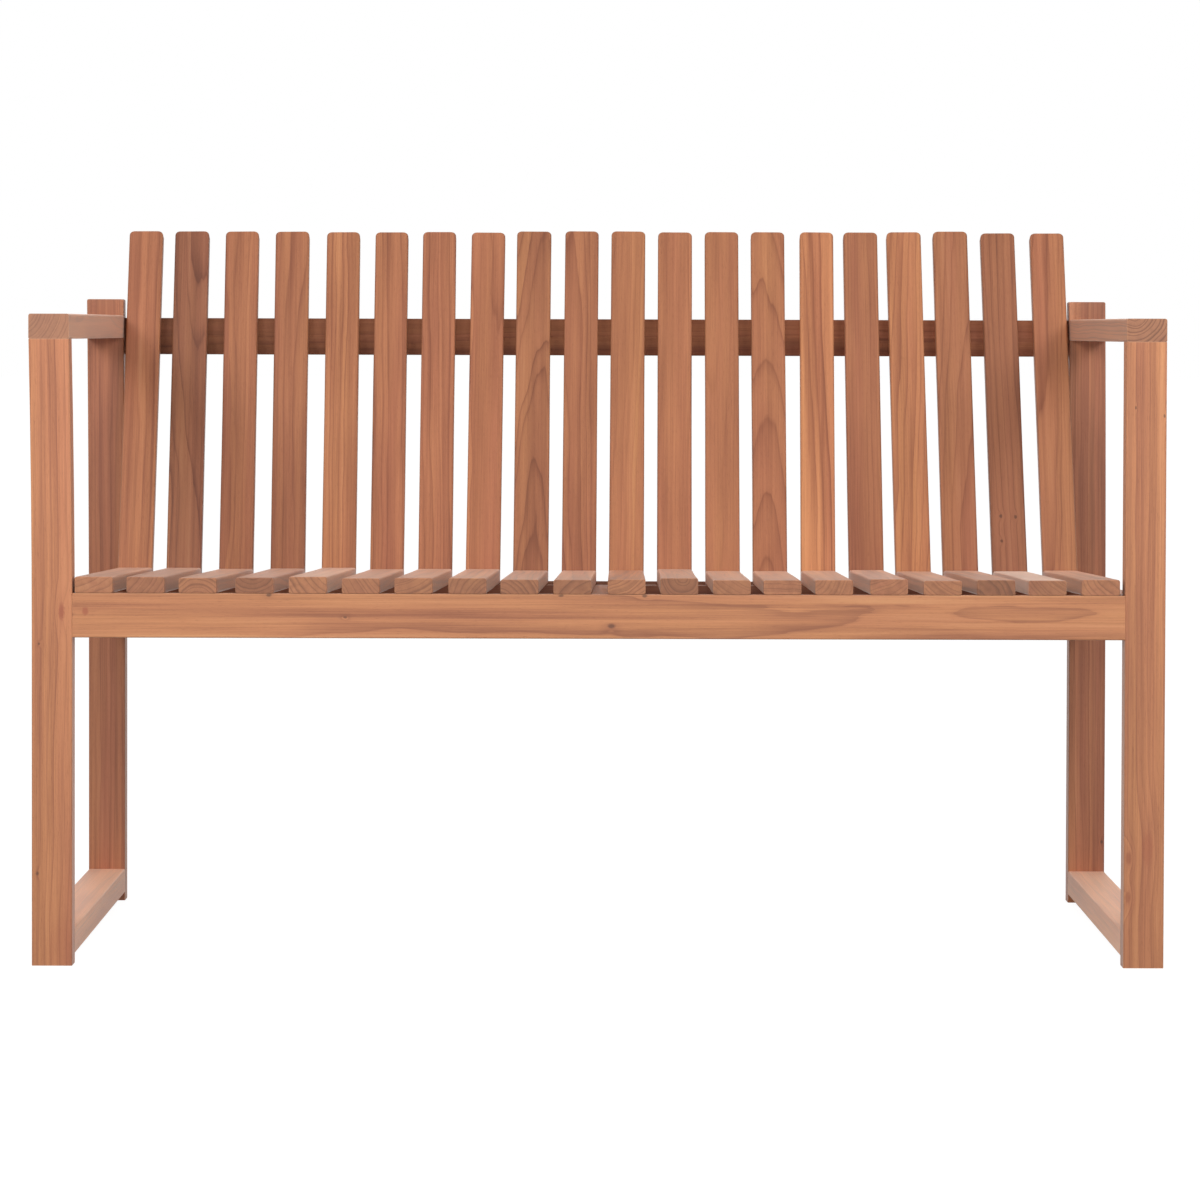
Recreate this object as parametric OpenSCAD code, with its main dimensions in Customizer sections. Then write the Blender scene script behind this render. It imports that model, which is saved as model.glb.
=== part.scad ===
// Garden bench with square armrests, a slatted seat and a leaning slatted back.
// The origin is on the ground under the middle of the bench. X runs along the
// bench, +Y points to its back and +Z points up. Left is at -X.

/* [Overall] */
// Width over the outer faces of the legs
bench_w = 1261; // [1220:1:1360]
// Height of the top of the tallest back slat
bench_h = 834; // [800:1:860]
// Depth from the front legs' front faces to the rear legs' back faces
leg_span = 592; // [584:1:600]
// Height of the armrests' undersides, where the front legs end
arm_under = 698; // [690:1:706]
// Height of the rear legs' tops
rear_leg_h = 746; // [740:1:760]

/* [Frame timber] */
// Width of the legs, armrests and floor runners, across the bench
post_w = 45; // [42:1:48]
// Depth of the legs, front to back
post_d = 28; // [27:1:32]
// Thickness of the left armrest
arm_t_left = 28; // [24:0.5:30]
// Thickness of the right armrest
arm_t_right = 26; // [24:0.5:30]
// Height of the floor runners
runner_h = 29; // [24:1:40]
// Clear height under the floor runners
runner_gap = 10; // [5:1:40]
// Height of the seat rails and of the lower back rail
rail_h = 48; // [44:1:52]
// Height of the upper back rail
upper_rail_h = 45; // [40:1:48]
// Thickness of the front and rear seat rails
rail_t = 26; // [24:1:27]
// Thickness of the side seat rails
side_rail_t = 28; // [24:1:30]
// Thickness of the two back rails
back_rail_t = 20; // [18:1:22]
// How far the front rail sits behind the legs' front faces
rail_setback = 1.5; // [0:0.5:3]
// Radius of the frame timbers' long edges
frame_edge_r = 1.5; // [0.5:0.5:4]
// Radius of the armrests' upper edges and of the corners on top of the rear legs
top_edge_r = 2.5; // [1:0.5:6]

/* [Bow of the legs] */
// Height above which the left front leg is bowed
front_bow_from = 366; // [350:1:400]
// Height above which the rear legs are bowed
rear_bow_from = 250; // [200:1:400]
// How far the top of the left front leg stands out
front_bow_left = 3.6; // [0.5:0.1:5]
// How far the top of the left rear leg stands out
rear_bow_left = 2.4; // [0.5:0.1:5]
// How far the top of the right rear leg stands in
rear_bow_right = 2.4; // [0.5:0.1:5]

/* [Seat] */
// Height of the seat slats' tops at the front
seat_h = 433; // [420:1:446]
// Depth of the seat, from the legs' front faces to the back slats
seat_d = 445; // [440:1:450]
// Fall of the seat towards the back, in degrees
seat_slope = 1.8; // [0:0.1:4]
// Width of a seat slat
seat_slat_w = 42.5; // [36:0.5:46]
// Thickness of a slat
slat_t = 17.5; // [16:0.5:20]
// Width of the bearer under the middle of the seat
bearer_w = 44; // [30:1:46]
// Height of the bearer under the middle of the seat
bearer_h = 28; // [20:1:40]
// Distance from the legs' front faces to the rear seat rail
rear_rail_y = 391; // [370:1:392]

/* [Back] */
// Lean of the back, in degrees from upright
back_lean = 21; // [18:0.5:22]
// Width of a back slat
back_slat_w = 41.5; // [36:0.5:46]
// Length of the back slats below the seat's surface
back_slat_drop = 62; // [58:1:66]
// Radius of the back slats' top corners
back_slat_corner_r = 5; // [2.5:0.5:12]
// Height of the upper back rail's underside
upper_rail_z = 678; // [670:1:685]
// Distance down the back slats to the top of the lower back rail
lower_rail_drop = 8.5; // [5:0.5:12]
// Radius of the slats' long edges
slat_edge_r = 2.5; // [1:0.5:4]

/* [Joints] */
// Gap left on each side of a tenon in its mortise
fit = 0.1; // [0.05:0.05:0.3]
// Gap between the seat slats' rear ends and the back slats
slat_gap = 0.5; // [0.3:0.1:3]
// Thickness of a tenon
tenon_t = 10; // [8:1:10]
// Height of the seat rails' tenons
tenon_h = 30; // [20:1:32]
// Length of a full tenon
tenon_l = 18; // [14:1:20]
// Length of a stub tenon
stub_l = 8; // [6:1:8]

/* [Screws] */
// Length of a screw
screw_l = 32; // [30:1:33]
// Diameter of a screw's shank
screw_d = 4; // [3.5:0.5:4.5]
// Diameter of a screw's head
screw_head_d = 7.6; // [7:0.2:9]
// Timber that a screw passes through before it reaches the slat
screw_grip = 20; // [18:1:22]
// Length of a screw in the upper back rail, which is thin where it is bevelled
short_screw_l = 25; // [22:1:26]

/* [Hidden] */
$fn = 48;
slat_count = 20;

// Timber drawn for each slat, front and back, as it came off the saw by hand:
// how far a slat's front end, its foot at the seat and its top end lie from the
// even spacing, how much wider than back_slat_w a back slat is, how far its top
// lies below the tallest, and how much thicker than slat_t a seat slat is.
seat_front_shift = [-1.5, -3, -4, 0, 0.5, 0.5, 0, 1, 0, 0, 1.5, 1, 0.5, -2, -3.5, -1.5, -0.5, 0, -2, -1.5];
slat_foot_shift = [-1, -1, 3.5, 7, 10, 9.5, 9, 8, 7, 6.5, 5, 4.5, 4, 2.5, 2, 1.5, -0.5, -2, -1, 1];
back_top_shift = [-3, -5, -1.5, 2, 6.5, 8, 8.5, 10.5, 8.5, 9, 8, 7, 6, 4.5, 6.5, 2, -3, -4, -4, -1.5];
back_extra_w = [0.5, 1, 0, 0.5, 0, -0.5, 0, 0.5, 1.5, 0.5, 1, 1, 0.5, 0.5, 0.5, 1, 1.5, 1.5, 1, 0.5];
back_top_drop = [2.5, 2.5, 2.5, 2.5, 3, 3, 2.5, 3, 1.5, 1, 1, 2, 1.5, 1.5, 1.5, 1.5, 1, 0, 2, 2];
seat_extra_t = [1, 1, 0, 0.5, 1.5, 0, 0.5, 0.5, -1, -1, -0.5, 1, -1, -1, -0.5, 0.5, -1, 0, -0.5, 0.5];

// The outer slats stand this far in from the legs' inner faces
end_gap = 4.5;
inner_w = bench_w - 2 * post_w;
slat_pitch = (inner_w - 2 * end_gap - back_slat_w) / (slat_count - 1);

arm_l = leg_span - post_d;
post_x = -(bench_w - post_w) / 2;
inner_x = -inner_w / 2;
side_rail_x = inner_x - side_rail_t / 2;

// Underside of the seat slats at the legs' front faces, and the point where the
// top of the seat meets the back slats' front faces
seat_under = seat_h - slat_t / cos(seat_slope);
back_z = seat_h - seat_d * tan(seat_slope);
back_rise = (bench_h - back_z) / cos(back_lean);

// The back slats' top rear edges are the rearmost points of the bench
bench_d = seat_d + back_rise * sin(back_lean) + slat_t * cos(back_lean);

// How far the bowed legs stand out at the armrests' undersides
front_out_left = front_bow_left;
rear_out_left = bow_shift(rear_bow_left, rear_bow_from, rear_leg_h, arm_under);
rear_out_right = -bow_shift(rear_bow_right, rear_bow_from, rear_leg_h, arm_under);

// Extra length of a tenon inside its own timber, so that the two fuse
root = 2;
overcut = 40;

// Gap at the upper back rail's shoulders, which are straight against a bowed leg
shoulder_gap = 0.02;

screw_pilot_play = 0.05;
screw_clear_play = 0.3;
screw_head_h = 2.2;
screw_rim_h = 0.3;
screw_tip_l = 4;
screw_bore_r = 5;
pilot_spare = 1;
hex_recess_d = 2.9;
hex_recess_h = 1.6;

// The screws in the upper back rail lie level, their heads sunk in its back
upper_screw_sink = 2;
upper_screw_z = upper_rail_z + 34;
upper_rail_depth = leg_span - seat_d - back_offset(upper_screw_z) - slat_t / cos(back_lean);
upper_screw_grip = upper_rail_depth - upper_screw_sink;
upper_screw_rise = (upper_screw_z - back_z) / cos(back_lean) + slat_t / 2 * tan(back_lean);

leg_color = [0.78, 0.55, 0.40];
rail_color = [0.76, 0.53, 0.37];
arm_color = [0.70, 0.50, 0.41];
slat_color = [0.71, 0.47, 0.36];
hidden_color = [0.55, 0.36, 0.27];
steel_color = [0.72, 0.72, 0.70];

function numbered(name, i) = str(name, "_", i < 9 ? "0" : "", i + 1);

// Y of a point that lies y behind the legs' front faces
function at(y) = y - bench_d / 2;

// X of a slat's middle on the even spacing
function slat_x(i) = (i - (slat_count - 1) / 2) * slat_pitch;

// X of a seat slat's middle, y along the seat from its front
function seat_x(i, y) =
    slat_x(i) + seat_front_shift[i] + (slat_foot_shift[i] - seat_front_shift[i]) * y / seat_d;

// X of a back slat's middle, z up the back from the seat
function back_x(i, z) =
    slat_x(i) + slat_foot_shift[i] + (back_top_shift[i] - slat_foot_shift[i]) * z / back_rise;

// Sideways turn of a seat slat and of a back slat, in degrees
function seat_turn(i) = atan((seat_x(i, seat_d) - seat_x(i, 0)) / seat_d);
function back_turn(i) = atan((back_x(i, back_rise) - back_x(i, 0)) / back_rise);

// Height of the seat slats' underside, y behind the legs' front faces
function under_at(y) = seat_under - y * tan(seat_slope);

// How far back the front faces of the back slats are at height z, from their foot
function back_offset(z) = (z - back_z) * tan(back_lean);

// Sideways shift at height z of a leg l high that bows above a given height
function bow_shift(bow, from, l, z) = z < from ? 0 : bow * pow((z - from) / (l - from), 2);

module rounded_rect(w, h, r) {
    union() {
        square([w - 2 * r, h], center = true);
        square([w, h - 2 * r], center = true);
        for (x = [-1, 1], y = [-1, 1])
            translate([x * (w / 2 - r), y * (h / 2 - r)])
                circle(r, $fn = 48);
    }
}

// A timber with rounded long edges, w across X and t across Y, along +Z
module bar(l, w, t, r = frame_edge_r) {
    linear_extrude(height = l)
        rounded_rect(w, t, r);
}

// The same timber centred on the X axis, h tall and t deep
module bar_x(l, h, t, r = frame_edge_r) {
    translate([-l / 2, 0, 0])
        rotate([0, 90, 0])
            bar(l, h, t, r);
}

// The same timber along +Y, w across X and h tall
module bar_y(l, w, h, r = frame_edge_r) {
    rotate([-90, 0, 0])
        bar(l, w, h, r);
}

// A leg l high, upright as far as a given height and bowed above it, towards -X
// where bow is positive, and by that much at its top
module bowed_post(l, from, bow) {
    rise = l - from;
    r = (rise * rise + bow * bow) / (2 * abs(bow));
    rotate([0, 0, bow < 0 ? 180 : 0])
        union() {
            bar(from, post_w, post_d);
            intersection() {
                translate([-r, 0, from])
                    rotate([90, 0, 0])
                        rotate_extrude(angle = 2, $fn = 3600)
                            translate([r, 0])
                                rounded_rect(post_w, post_d, frame_edge_r);
                translate([-post_w, -post_d, 0])
                    cube([2 * post_w, 2 * post_d, l]);
            }
        }
}

// An outline with rounded top corners, its top middle at the origin, which is
// wider than a leg below the corners
module post_top_outline(l) {
    r = top_edge_r;
    union() {
        translate([-post_w, -l])
            square([2 * post_w, l - r]);
        translate([r - post_w / 2, -2 * r])
            square([post_w - 2 * r, 2 * r]);
        for (x = [-1, 1])
            translate([x * (post_w / 2 - r), -r])
                circle(r);
    }
}

// The section of an armrest t thick: its upper edges, at -Y, are the rounder ones
module arm_section(t) {
    union() {
        rounded_rect(post_w, t, top_edge_r);
        translate([0, t / 4])
            rounded_rect(post_w, t / 2, frame_edge_r);
    }
}

// A frame whose Y axis runs back along the underside of the seat slats
module in_seat_plane() {
    translate([0, at(0), seat_under])
        rotate([-seat_slope, 0, 0])
            children();
}

// A frame whose Z axis runs up the front faces of the back slats
module in_back_plane() {
    translate([0, at(seat_d), back_z])
        rotate([-back_lean, 0, 0])
            children();
}

// A tenon of a given size about a point. The mortise is the same block, grown.
module tenon(centre, size, grow = 0) {
    translate(centre)
        cube([size.x + 2 * grow, size.y + 2 * grow, size.z + 2 * grow], center = true);
}

// The front leg's tenon, up into the armrest, where the leg stands out by out
module arm_post_tenon(out, grow = 0) {
    l = 16;
    tenon([post_x - out, at(post_d / 2), arm_under + (l - root) / 2], [24, 12, l + root], grow);
}

// The armrest's tenon, back into the rear leg, where the leg stands out by out
module arm_rear_tenon(out, grow = 0) {
    z = arm_under + 13;
    tenon([post_x - out, at(arm_l + (stub_l - root) / 2), z], [24, stub_l + root, tenon_t], grow);
}

// The floor runner's tenons, into the front leg and the rear leg
module runner_tenons(grow = 0) {
    z = runner_gap + runner_h / 2;
    tenon([post_x, at(post_d - (tenon_l - root) / 2), z], [24, tenon_l + root, tenon_t], grow);
    tenon([post_x, at(arm_l + (tenon_l - root) / 2), z], [24, tenon_l + root, tenon_t], grow);
}

// The side rail's tenons. The front one is a stub, clear of the front rail's tenon.
module side_rail_tenons(grow = 0) {
    front_z = under_at(post_d) - rail_h / 2;
    rear_z = under_at(arm_l) - rail_h / 2;
    tenon([side_rail_x, at(post_d - (stub_l - root) / 2), front_z], [tenon_t, stub_l + root, tenon_h], grow);
    tenon([side_rail_x, at(arm_l + (tenon_l - root) / 2), rear_z], [tenon_t, tenon_l + root, tenon_h], grow);
}

// The front rail's left tenon, into the front leg
module front_rail_tenon(grow = 0) {
    y = rail_setback + 11;
    z = under_at(0) - rail_h / 2;
    tenon([inner_x - (tenon_l - root) / 2, at(y), z], [tenon_l + root, tenon_t, tenon_h], grow);
}

// The rear rail's left tenon, into the side rail
module rear_rail_tenon(grow = 0) {
    l = 14;
    y = rear_rail_y + rail_t / 2;
    z = under_at(y) - rail_h / 2;
    tenon([inner_x - (l - root) / 2, at(y), z], [l + root, tenon_t, tenon_h], grow);
}

// The upper back rail's left tenon, into the rear leg, where the leg stands out by out
module upper_rail_tenon(out, grow = 0) {
    l = 12;
    y = leg_span - back_rail_t / 2;
    z = upper_rail_z + upper_rail_h / 2;
    tenon([inner_x - out - (l - root) / 2, at(y), z], [l + root, 8, 24], grow);
}

// The lower back rail's left tenon, into the side rail
module lower_rail_tenon(grow = 0) {
    l = 14;
    z = -lower_rail_drop - rail_h / 2;
    in_back_plane()
        tenon([inner_x - (l - root) / 2, slat_t + back_rail_t / 2, z], [l + root, tenon_t, 26], grow);
}

// The centre bearer's stub tenons, into the front rail and the rear rail
module bearer_tenons(grow = 0) {
    front_y = rail_setback + rail_t;
    for (y = [front_y - (stub_l - root) / 2, rear_rail_y + (stub_l - root) / 2])
        tenon([0, at(y), under_at(y) - bearer_h / 2], [24, stub_l + root, tenon_t], grow);
}

// A countersunk wood screw l long, head at the origin and point along +Z
module screw(l) {
    difference() {
        rotate_extrude()
            polygon([
                [0, 0],
                [screw_head_d / 2, 0],
                [screw_head_d / 2, screw_rim_h],
                [screw_d / 2, screw_head_h],
                [screw_d / 2, l - screw_tip_l],
                [0, l]
            ]);
        translate([0, 0, -1])
            cylinder(h = hex_recess_h + 1, d = hex_recess_d, $fn = 6);
    }
}

// The hole that a screw l long sits in: a bore up to the head, a countersink, a
// loose hole through the rail, grip deep, and a close pilot hole in the slat
module screw_hole(l, grip) {
    clear_r = screw_d / 2 + screw_clear_play;
    head_r = screw_head_d / 2 + screw_clear_play;
    union() {
        translate([0, 0, -overcut])
            cylinder(h = overcut, r = screw_bore_r);
        cylinder(h = screw_rim_h, r = head_r);
        translate([0, 0, screw_rim_h])
            cylinder(h = screw_head_h - screw_rim_h, r1 = head_r, r2 = clear_r);
        cylinder(h = grip, r = clear_r);
        cylinder(h = l + pilot_spare, r = screw_d / 2 + screw_pilot_play);
    }
}

// Puts its child at the two screws of seat slat i, pointing up through the rails
module at_seat_screws(i) {
    for (y = [rail_setback + rail_t / 2, rear_rail_y + rail_t / 2])
        in_seat_plane()
            translate([seat_x(i, y), y, -screw_grip])
                children();
}

// Puts its child at the lower screw of back slat i, pointing forwards
module at_lower_back_screw(i) {
    z = -lower_rail_drop - rail_h / 2;
    in_back_plane()
        translate([back_x(i, z), slat_t + back_rail_t, z])
            rotate([90, 0, 0])
                children();
}

// Puts its child at the upper screw of back slat i, pointing forwards
module at_upper_back_screw(i) {
    translate([back_x(i, upper_screw_rise), at(leg_span - upper_screw_sink), upper_screw_z])
        rotate([90, 0, 0])
            children();
}

// A block that fills the space above the seat slats' underside
module above_seat_rails() {
    in_seat_plane()
        translate([-bench_w / 2, -overcut, 0])
            cube([bench_w, leg_span, overcut]);
}

// The space that the seat slats fill: upright at the front, and cut at the rear
// to lie along the back slats
module seat_space() {
    low = seat_under - overcut;
    high = seat_h + overcut;
    front = at(rail_setback);
    rear = at(seat_d - slat_gap);
    rotate([90, 0, 90])
        linear_extrude(height = bench_w, center = true)
            polygon([
                [front, low],
                [front, high],
                [rear + (high - back_z) * tan(back_lean), high],
                [rear + (low - back_z) * tan(back_lean), low]
            ]);
}

// Puts the middle of the whole bench, with the bow of its left side, at the origin
module centred() {
    translate([front_bow_left / 2, 0, 0])
        children();
}

module front_leg(out) {
    color(leg_color)
        difference() {
            union() {
                translate([post_x, at(post_d / 2), 0])
                    if (out > 0)
                        bowed_post(arm_under, front_bow_from, out);
                    else
                        bar(arm_under, post_w, post_d);
                arm_post_tenon(out);
            }
            front_rail_tenon(fit);
            side_rail_tenons(fit);
            runner_tenons(fit);
        }
}

module rear_leg(bow) {
    color(leg_color)
        difference() {
            intersection() {
                translate([post_x, at(leg_span - post_d / 2), 0])
                    bowed_post(rear_leg_h, rear_bow_from, bow);
                translate([post_x - bow, at(leg_span - post_d / 2), rear_leg_h])
                    rotate([90, 0, 0])
                        linear_extrude(height = 2 * post_d, center = true)
                            post_top_outline(rear_leg_h);
            }
            arm_rear_tenon(bow_shift(bow, rear_bow_from, rear_leg_h, arm_under), fit);
            side_rail_tenons(fit);
            runner_tenons(fit);
            upper_rail_tenon(bow_shift(bow, rear_bow_from, rear_leg_h, upper_rail_z), fit);
        }
}

// An armrest t thick, from where the front leg stands out to where the rear one does
module armrest(t, front_out, rear_out) {
    turn = atan((rear_out - front_out) / arm_l);
    color(arm_color)
        difference() {
            union() {
                intersection() {
                    translate([post_x - front_out, at(0), arm_under + t / 2])
                        rotate([0, 0, turn])
                            translate([0, -overcut, 0])
                                rotate([-90, 0, 0])
                                    linear_extrude(height = arm_l + 2 * overcut)
                                        arm_section(t);
                    translate([-bench_w, at(0), 0])
                        cube([bench_w, arm_l, bench_h]);
                }
                arm_rear_tenon(rear_out);
            }
            arm_post_tenon(front_out, fit);
        }
}

module right_armrest() {
    mirror([1, 0, 0])
        armrest(arm_t_right, 0, rear_out_right);
}

module floor_runner() {
    color(rail_color)
        union() {
            translate([post_x, at(post_d), runner_gap + runner_h / 2])
                bar_y(arm_l - post_d, post_w, runner_h);
            runner_tenons();
        }
}

module side_rail() {
    color(hidden_color)
        difference() {
            union() {
                intersection() {
                    in_seat_plane()
                        translate([side_rail_x, 0, -rail_h / 2])
                            bar_y(leg_span, side_rail_t, rail_h);
                    translate([side_rail_x - side_rail_t, at(post_d), 0])
                        cube([2 * side_rail_t, arm_l - post_d, bench_h]);
                }
                side_rail_tenons();
            }
            rear_rail_tenon(fit);
            lower_rail_tenon(fit);
        }
}

// An upright seat rail between the side frames, its top cut to the seat's fall
module seat_rail(y) {
    z = under_at(y) - rail_h / 2;
    difference() {
        translate([0, at(y + rail_t / 2), z])
            bar_x(inner_w, rail_h + 2 * frame_edge_r, rail_t);
        above_seat_rails();
    }
}

module front_rail() {
    color(rail_color)
        difference() {
            union() {
                seat_rail(rail_setback);
                front_rail_tenon();
                mirror([1, 0, 0])
                    front_rail_tenon();
            }
            bearer_tenons(fit);
            for (i = [0 : slat_count - 1])
                at_seat_screws(i)
                    screw_hole(screw_l, screw_grip);
        }
}

module rear_rail() {
    color(hidden_color)
        difference() {
            union() {
                seat_rail(rear_rail_y);
                rear_rail_tenon();
                mirror([1, 0, 0])
                    rear_rail_tenon();
            }
            bearer_tenons(fit);
            for (i = [0 : slat_count - 1])
                at_seat_screws(i)
                    screw_hole(screw_l, screw_grip);
        }
}

module centre_bearer() {
    front_y = rail_setback + rail_t;
    color(hidden_color)
        union() {
            intersection() {
                in_seat_plane()
                    translate([0, 0, -bearer_h / 2])
                        bar_y(leg_span, bearer_w, bearer_h);
                translate([-bearer_w, at(front_y), 0])
                    cube([2 * bearer_w, rear_rail_y - front_y, bench_h]);
            }
            bearer_tenons();
        }
}

// The front outline of the upper back rail, which ends at the bowed rear legs
module upper_rail_outline() {
    low = upper_rail_z;
    high = upper_rail_z + upper_rail_h;
    left = [for (z = [low, high]) bow_shift(rear_bow_left, rear_bow_from, rear_leg_h, z) - shoulder_gap];
    right = [for (z = [low, high]) -bow_shift(rear_bow_right, rear_bow_from, rear_leg_h, z) - shoulder_gap];
    polygon([
        [inner_x - left[0], low],
        [inner_x - left[1], high],
        [right[1] - inner_x, high],
        [right[0] - inner_x, low]
    ]);
}

// An upright rail, bevelled where the back slats lie against it
module upper_back_rail() {
    y = leg_span - back_rail_t / 2;
    color(hidden_color)
        difference() {
            union() {
                intersection() {
                    translate([0, at(y), upper_rail_z + upper_rail_h / 2])
                        bar_x(bench_w, upper_rail_h, back_rail_t);
                    translate([0, at(y), 0])
                        rotate([90, 0, 0])
                            linear_extrude(height = 2 * back_rail_t, center = true)
                                upper_rail_outline();
                }
                upper_rail_tenon(bow_shift(rear_bow_left, rear_bow_from, rear_leg_h, upper_rail_z));
                mirror([1, 0, 0])
                    upper_rail_tenon(-bow_shift(rear_bow_right, rear_bow_from, rear_leg_h, upper_rail_z));
            }
            in_back_plane()
                translate([-bench_w / 2, slat_t - overcut, 0])
                    cube([bench_w, overcut, bench_h]);
            for (i = [0 : slat_count - 1])
                at_upper_back_screw(i)
                    screw_hole(short_screw_l, upper_screw_grip);
        }
}

module lower_back_rail() {
    z = -lower_rail_drop - rail_h / 2;
    color(hidden_color)
        difference() {
            union() {
                in_back_plane()
                    translate([0, slat_t + back_rail_t / 2, z])
                        bar_x(inner_w, rail_h, back_rail_t);
                lower_rail_tenon();
                mirror([1, 0, 0])
                    lower_rail_tenon();
            }
            for (i = [0 : slat_count - 1])
                at_lower_back_screw(i)
                    screw_hole(screw_l, screw_grip);
        }
}

module seat_slat(i) {
    t = slat_t + seat_extra_t[i];
    color(slat_color)
        difference() {
            intersection() {
                in_seat_plane()
                    translate([seat_x(i, 0), 0, t / 2])
                        rotate([0, 0, -seat_turn(i)])
                            translate([0, -overcut, 0])
                                bar_y(seat_d + 2 * overcut, seat_slat_w, t, slat_edge_r);
                seat_space();
            }
            at_seat_screws(i)
                screw_hole(screw_l, screw_grip);
        }
}

// The front outline of a back slat: square at the foot, rounded at the top
module back_slat_outline(w, l) {
    r = back_slat_corner_r;
    union() {
        translate([-w / 2, 0])
            square([w, l - r]);
        translate([r - w / 2, 0])
            square([w - 2 * r, l]);
        for (x = [-1, 1])
            translate([x * (w / 2 - r), l - r])
                circle(r);
    }
}

module back_slat(i) {
    w = back_slat_w + back_extra_w[i];
    l = back_slat_drop + back_rise - back_top_drop[i] / cos(back_lean);
    color(slat_color)
        difference() {
            in_back_plane()
                translate([back_x(i, 0), 0, 0])
                    rotate([0, back_turn(i), 0])
                        translate([0, slat_t / 2, -back_slat_drop])
                            intersection() {
                                bar(l, w, slat_t, slat_edge_r);
                                rotate([90, 0, 0])
                                    linear_extrude(height = 2 * slat_t, center = true)
                                        back_slat_outline(w, l);
                            }
            at_upper_back_screw(i)
                screw_hole(short_screw_l, upper_screw_grip);
            at_lower_back_screw(i)
                screw_hole(screw_l, screw_grip);
        }
}

module seat_screws() {
    color(steel_color)
        for (i = [0 : slat_count - 1])
            at_seat_screws(i)
                screw(screw_l);
}

module back_screws() {
    color(steel_color)
        for (i = [0 : slat_count - 1]) {
            at_upper_back_screw(i)
                screw(short_screw_l);
            at_lower_back_screw(i)
                screw(screw_l);
        }
}

centred() front_leg(front_out_left);  // front_leg_left
centred() mirror([1, 0, 0]) front_leg(0);  // front_leg_right
centred() rear_leg(rear_bow_left);  // rear_leg_left
centred() mirror([1, 0, 0]) rear_leg(-rear_bow_right);  // rear_leg_right
centred() armrest(arm_t_left, front_out_left, rear_out_left);  // armrest_left
centred() right_armrest();  // armrest_right
centred() floor_runner();  // floor_runner_left
centred() mirror([1, 0, 0]) floor_runner();  // floor_runner_right
centred() side_rail();  // side_rail_left
centred() mirror([1, 0, 0]) side_rail();  // side_rail_right
centred() front_rail();
centred() rear_rail();
centred() centre_bearer();
centred() upper_back_rail();
centred() lower_back_rail();
centred() seat_screws();
centred() back_screws();
for (i = [0 : slat_count - 1]) {
    centred() seat_slat(i);
    centred() back_slat(i);
}
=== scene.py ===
import math
import random

import bmesh
import bpy
from mathutils import Matrix, Vector, noise


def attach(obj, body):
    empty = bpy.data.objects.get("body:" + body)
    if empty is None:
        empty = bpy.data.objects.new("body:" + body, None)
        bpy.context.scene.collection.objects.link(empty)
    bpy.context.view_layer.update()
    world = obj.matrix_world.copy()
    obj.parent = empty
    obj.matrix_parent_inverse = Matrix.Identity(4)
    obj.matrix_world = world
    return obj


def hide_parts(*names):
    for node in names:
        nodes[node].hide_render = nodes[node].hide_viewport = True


# Garden bench: a teak frame with 20 seat slats and 20 back slats. The frame members and
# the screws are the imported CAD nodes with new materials. The slats are rebuilt as boards
# with softened ends and a trace of hand work, each in the place of its own CAD node.

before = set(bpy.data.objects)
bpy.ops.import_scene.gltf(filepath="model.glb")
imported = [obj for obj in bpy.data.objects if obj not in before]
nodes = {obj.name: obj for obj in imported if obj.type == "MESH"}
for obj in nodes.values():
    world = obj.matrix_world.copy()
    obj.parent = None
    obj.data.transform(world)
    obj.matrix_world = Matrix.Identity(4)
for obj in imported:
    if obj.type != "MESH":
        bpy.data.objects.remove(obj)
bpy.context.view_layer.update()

MM = 0.001
SLATS = 20

# ---------------------------------------------------------------------------
# Camera: where the photograph was taken from, in the bench's frame
# ---------------------------------------------------------------------------
CAMERA_PLACE = Vector((-0.0132, -5.2038, 0.7091))
CAMERA_YAW = math.radians(-0.184)
CAMERA_PITCH = math.radians(1.414)
CAMERA_ROLL = math.radians(-0.168)
CAMERA_LENS = 132.2
CAMERA_SENSOR = 36.0
CAMERA_SHIFT = -0.134

# ---------------------------------------------------------------------------
# Slat shapes
# ---------------------------------------------------------------------------
SLAT_EDGE_R = 2.5 * MM      # radius of a slat's long edges
SLAT_END_R = 0.8 * MM       # softening of a slat's sawn ends
BACK_TOP_R = 5.0 * MM       # rounded corners at the top of a back slat
SLAT_SLACK = 0.12 * MM      # how far inside the CAD solid a slat's faces stay
SLAT_BOW = 0.22 * MM        # how far a slat wanders from straight
STATION_STEP = 30 * MM      # spacing of the loops along a slat
SUPPORT = 0.5 * MM          # points this close to a corner keep the flat beside it flat
CORNER_STEPS = 5            # steps round a long edge's corner
END_STEPS = 5               # loops round a sawn end
TOP_STEPS = 7               # loops round a back slat's top corners
SHARP_TURN = math.radians(35)   # edges that turn more than this are shaded as sharp

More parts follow.
